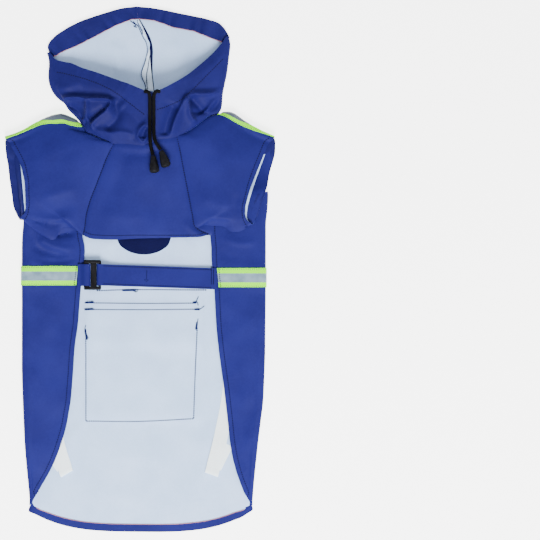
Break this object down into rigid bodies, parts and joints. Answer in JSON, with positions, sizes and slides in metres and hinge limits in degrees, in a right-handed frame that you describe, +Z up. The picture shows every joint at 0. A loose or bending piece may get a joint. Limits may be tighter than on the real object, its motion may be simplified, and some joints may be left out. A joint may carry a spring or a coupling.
{
  "type": "dog raincoat",
  "caption": "Hooded dog raincoat laid flat belly side up, with short raglan sleeves, side flaps, a buckled belly strap and reflective tape.",
  "frame": {"origin": "under the middle of the laid coat, on the surface that it lies on", "axes": "+Y towards the top of the hood, +Z up out of the surface through the back and then the belly side, +X to the right as seen from above"},
  "size_m": [0.3446, 0.6829, 0.0378],
  "materials": {
    "coat_blue": "coated woven cloth, low sheen, light grey-white coating on its inner face",
    "tape_lime": "fluorescent lime tape with a silver-grey reflective stripe",
    "elastic_white": "matt knitted elastic",
    "plastic_black": "black moulded plastic",
    "cord_black": "black braided cord"
  },
  "bodies": {
    "root": {"body": "coat_blue", "chest_panel": "coat_blue", "sleeve_left": "coat_blue", "sleeve_right": "coat_blue", "hood_left": "coat_blue", "hood_right": "coat_blue", "slit_facing": "coat_blue", "pocket": "coat_blue", "pocket_flap": "coat_blue", "belly_tape": "tape_lime", "shoulder_tape_left": "tape_lime", "shoulder_tape_right": "tape_lime", "strap_loop": "coat_blue", "belly_strap": "coat_blue", "buckle": "plastic_black", "leg_elastic_left": "elastic_white", "leg_elastic_right": "elastic_white", "drawcord_left": "cord_black", "drawcord_right": "cord_black", "cord_stopper_left": "plastic_black", "cord_stopper_right": "plastic_black"}
  },
  "joints": []
}
